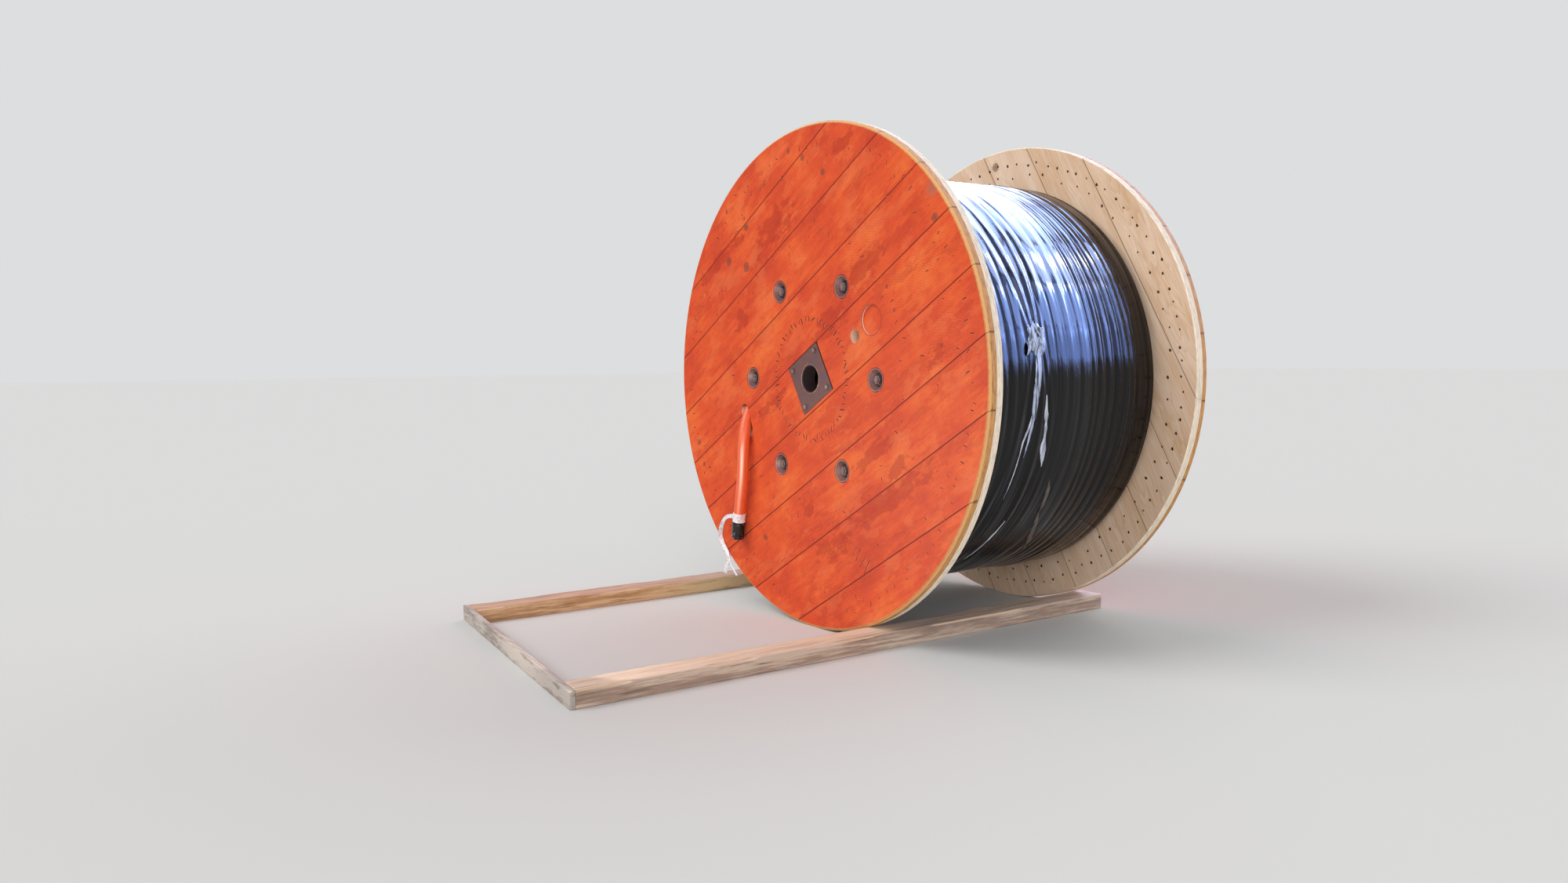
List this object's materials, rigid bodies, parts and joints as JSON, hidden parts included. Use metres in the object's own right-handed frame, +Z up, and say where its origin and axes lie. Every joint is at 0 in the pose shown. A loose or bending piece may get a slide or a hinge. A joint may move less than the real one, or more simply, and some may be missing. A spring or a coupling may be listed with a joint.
{
  "type": "wooden cable drum wound with plastic duct",
  "caption": "Large two-flange wooden drum on its side rims, wound with orange plastic duct under black stretch film, lying between low timbers.",
  "frame": {"origin": "middle of the base, on the ground, between the drum's lowest line and the two timbers' extent; the duct's tail, its cap and its tape are left out of that box", "axes": "+Z up, +Y along the drum's axis from the flange with the duct's tail to the other one, +X to the right as that flange is looked at"},
  "size_m": [2.4, 2.9748, 2.4],
  "materials": {
    "painted_pine": "matt",
    "bare_pine": "matt",
    "weathered_timber": "matt",
    "rusty_plate": "rough",
    "plate_screws": "rough",
    "cup_washers": "rough",
    "rod_steel": "rough",
    "orange_duct": "satin",
    "black_cap": "satin",
    "stretch_film": "gloss",
    "white_tape": "matt"
  },
  "bodies": {
    "root": {"barrel_staves": "bare_pine", "binding_tape": "white_tape", "cross_board": "weathered_timber", "duct_end_cap": "black_cap", "duct_tail": "orange_duct", "duct_winding": "orange_duct", "far_barrel_former": "bare_pine", "far_cup_washers": "cup_washers", "far_inner_board_1": "bare_pine", "far_inner_board_2": "bare_pine", "far_inner_board_3": "bare_pine", "far_inner_board_4": "bare_pine", "far_inner_board_5": "bare_pine", "far_inner_board_6": "bare_pine", "far_inner_board_7": "bare_pine", "far_inner_board_8": "bare_pine", "far_inner_board_9": "bare_pine", "far_outer_board_1": "painted_pine", "far_outer_board_2": "painted_pine", "far_outer_board_3": "painted_pine", "far_outer_board_4": "painted_pine", "far_outer_board_5": "painted_pine", "far_outer_board_6": "painted_pine", "far_outer_board_7": "painted_pine", "far_outer_board_8": "painted_pine", "far_outer_board_9": "painted_pine", "far_plate_screws": "plate_screws", "far_rail": "weathered_timber", "far_rod_nuts": "rod_steel", "far_spindle_plate": "rusty_plate", "near_barrel_former": "bare_pine", "near_cup_washers": "cup_washers", "near_inner_board_1": "bare_pine", "near_inner_board_2": "bare_pine", "near_inner_board_3": "bare_pine", "near_inner_board_4": "bare_pine", "near_inner_board_5": "bare_pine", "near_inner_board_6": "bare_pine", "near_inner_board_7": "bare_pine", "near_inner_board_8": "bare_pine", "near_inner_board_9": "bare_pine", "near_outer_board_1": "painted_pine", "near_outer_board_2": "painted_pine", "near_outer_board_3": "painted_pine", "near_outer_board_4": "painted_pine", "near_outer_board_5": "painted_pine", "near_outer_board_6": "painted_pine", "near_outer_board_7": "painted_pine", "near_outer_board_8": "painted_pine", "near_outer_board_9": "painted_pine", "near_plate_screws": "plate_screws", "near_rail": "weathered_timber", "near_rod_nuts": "rod_steel", "near_spindle_plate": "rusty_plate", "stretch_film": "stretch_film", "tape_tail": "white_tape", "tie_rods": "rod_steel"}
  },
  "joints": []
}
